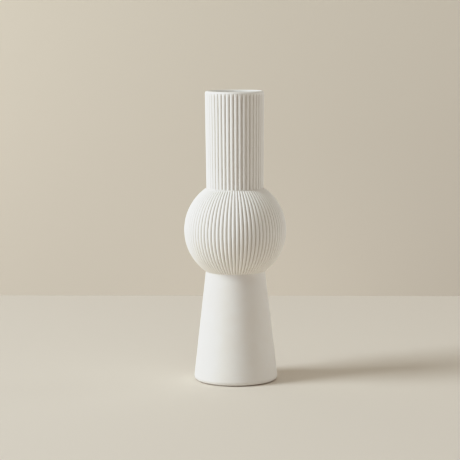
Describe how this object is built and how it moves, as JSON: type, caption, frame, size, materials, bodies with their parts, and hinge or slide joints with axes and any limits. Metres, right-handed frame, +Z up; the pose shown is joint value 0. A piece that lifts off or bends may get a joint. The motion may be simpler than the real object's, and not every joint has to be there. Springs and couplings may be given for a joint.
{
  "type": "ceramic bottle vase",
  "caption": "Tall matt ceramic vase: a smooth cone foot, a finely ribbed ball belly and a ribbed, slightly flared tube neck stacked on one axis, open at the rounded lip for stems.",
  "frame": {"origin": "on the table, under the vase's axis", "axes": "+Z up along the vase's axis, out of the mouth; -Y towards the viewer of the picture; +X to the viewer's right"},
  "size_m": [0.1264, 0.1264, 0.36],
  "materials": {
    "bisque": "matt, unglazed",
    "slip": "matt, sponged",
    "glaze": "clear satin glaze"
  },
  "bodies": {
    "root": {"foot": "bisque", "floor_disc": "bisque", "floor_slip": "slip", "belly": "bisque", "belly_slip": "slip", "neck": "bisque", "neck_slip": "slip", "glaze_lining": "glaze"}
  },
  "joints": []
}
